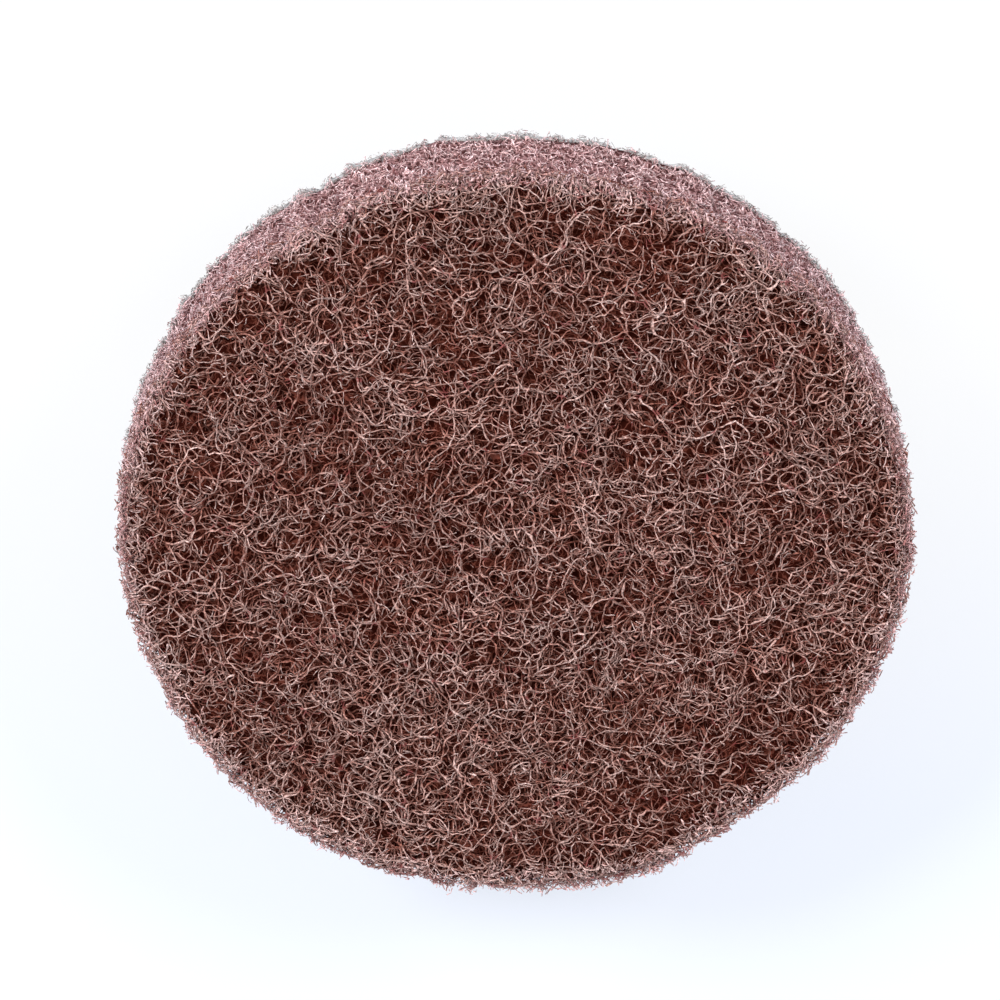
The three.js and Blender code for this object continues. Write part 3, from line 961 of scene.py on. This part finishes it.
edge = strand_mesh("edge_fibres", track, depth, kept, radius, edge_fibre, away)

# The fibres of the rim: the web's layers cut through by the die, so that short lengths and cut ends show.
# Near the face they are as brown as its fibres, and below that their cut ends are painted paler, a painted
# light, and darker further inside the cut, a painted shade.
RIM_LEAN = 1.0
RIM_CRINKLE = 0.5
RIM_FUZZ = 0.55
RIM_BELOW_FACE = 0.5
RIM_OVER_CLOTH = 0.3
RIM_DROOP = 0.1
RIM_TOP_BAND = 1.8
RIM_TOP_DEPTH = 0.3
# Paler than the face's fibres: painted light on the cut ends; darker further inside the cut: painted shade.
RIM_LIT_TONES_AND_DEPTH_SHADE = [
    (0.0, (0.73, 0.53, 0.53, 1)),
    (0.18, (0.61, 0.38, 0.375, 1)),
    (0.4, (0.345, 0.152, 0.145, 1)),
    (0.8, (0.16, 0.05, 0.044, 1)),
]

# Strands by layer: how many, their steps, the length of a step, their depth inside the cut and their radius.
RIM_LAYERS = [
    ("rim_fibres_outer", 8400, 3, 0.36, (-0.1, 0.35), (0.03, 0.05)),
    ("rim_fibres_inner", 9200, 2, 0.55, (0.15, 0.7), (0.038, 0.066)),
]


def rim_strands(count, steps, step, depths, low, high):
    """Short strands round the rim between two heights: their points, how deep each lies, and the direction
    outwards at each."""
    turn = rng.random(count) * 2 * math.pi
    away = np.stack([np.cos(turn), np.sin(turn), np.zeros(count)], axis=1)
    side = np.stack([-np.sin(turn), np.cos(turn), np.zeros(count)], axis=1)
    reach = cut_radius(away[:, 0], away[:, 1]) - rng.uniform(*depths, count)
    place = away * reach[:, None]
    place[:, 2] = rng.uniform(low, high, count)
    place += away * frayed(place)[:, None]
    track = short_strands(place, away, side, steps, step, RIM_LEAN, RIM_CRINKLE)
    track[:, :, 2] = np.clip(track[:, :, 2], low - RIM_DROOP, high)
    out = track * (1, 1, 0)
    reach = np.linalg.norm(out, axis=2)
    depth = np.maximum(0, cut_radius(out[:, :, 0], out[:, :, 1]) - reach)
    return track, depth, out / reach[:, :, None]


rim_fibre = fibre_finish("rim_fibre", RIM_LIT_TONES_AND_DEPTH_SHADE, STRAND_SPREAD)
low = back_height - RIM_OVER_CLOTH
high = face_height - RIM_BELOW_FACE
for name, count, steps, step, depths, radii in RIM_LAYERS:
    track, depth, out = rim_strands(count, steps, step, depths, low, high)
    near_face = np.clip(1 - (face_height - track[:, :, 2]) / RIM_TOP_BAND, 0, 1)
    depth = depth + RIM_TOP_DEPTH * near_face
    track, depth, kept = cut_to_edge(track, depth, RIM_FUZZ * rng.random(count) ** 2)
    piece = strand_mesh(name, track, depth, kept, rng.uniform(*radii, count), rim_fibre, out)

# The fringe of the backing cloth: ends of its grey yarn, frayed to single threads, that stand out where the
# die has cut it.
FRINGE_COUNT = 4800
FRINGE_STEPS = 2
FRINGE_STEP = 0.35
FRINGE_REACH = 0.3
FRINGE_DEPTHS = (-0.22, 0.28)
FRINGE_ABOVE_CLOTH = (0.1, 0.4)
FRINGE_RADII = (0.026, 0.046)
FRINGE_SPREAD = 0.07
# Paler than the cloth's own yarn, a painted light, and darker further inside the cut, a painted shade.
FRINGE_LIT_TONES_AND_DEPTH_SHADE = [
    (0.0, (0.53, 0.5, 0.485, 1)),
    (1.0, (0.36, 0.335, 0.325, 1)),
]

fringe_fibre = fibre_finish("fringe_fibre", FRINGE_LIT_TONES_AND_DEPTH_SHADE, FRINGE_SPREAD)
low = cloth_low.z / MM + FRINGE_ABOVE_CLOTH[0]
high = cloth_high.z / MM + FRINGE_ABOVE_CLOTH[1]
track, depth, out = rim_strands(FRINGE_COUNT, FRINGE_STEPS, FRINGE_STEP, FRINGE_DEPTHS, low, high)
track, depth, kept = cut_to_edge(track, depth, FRINGE_REACH * rng.random(FRINGE_COUNT))
radius = rng.uniform(*FRINGE_RADII, FRINGE_COUNT)
fringe = strand_mesh("backing_fringe", track, depth, kept, radius, fringe_fibre, out)
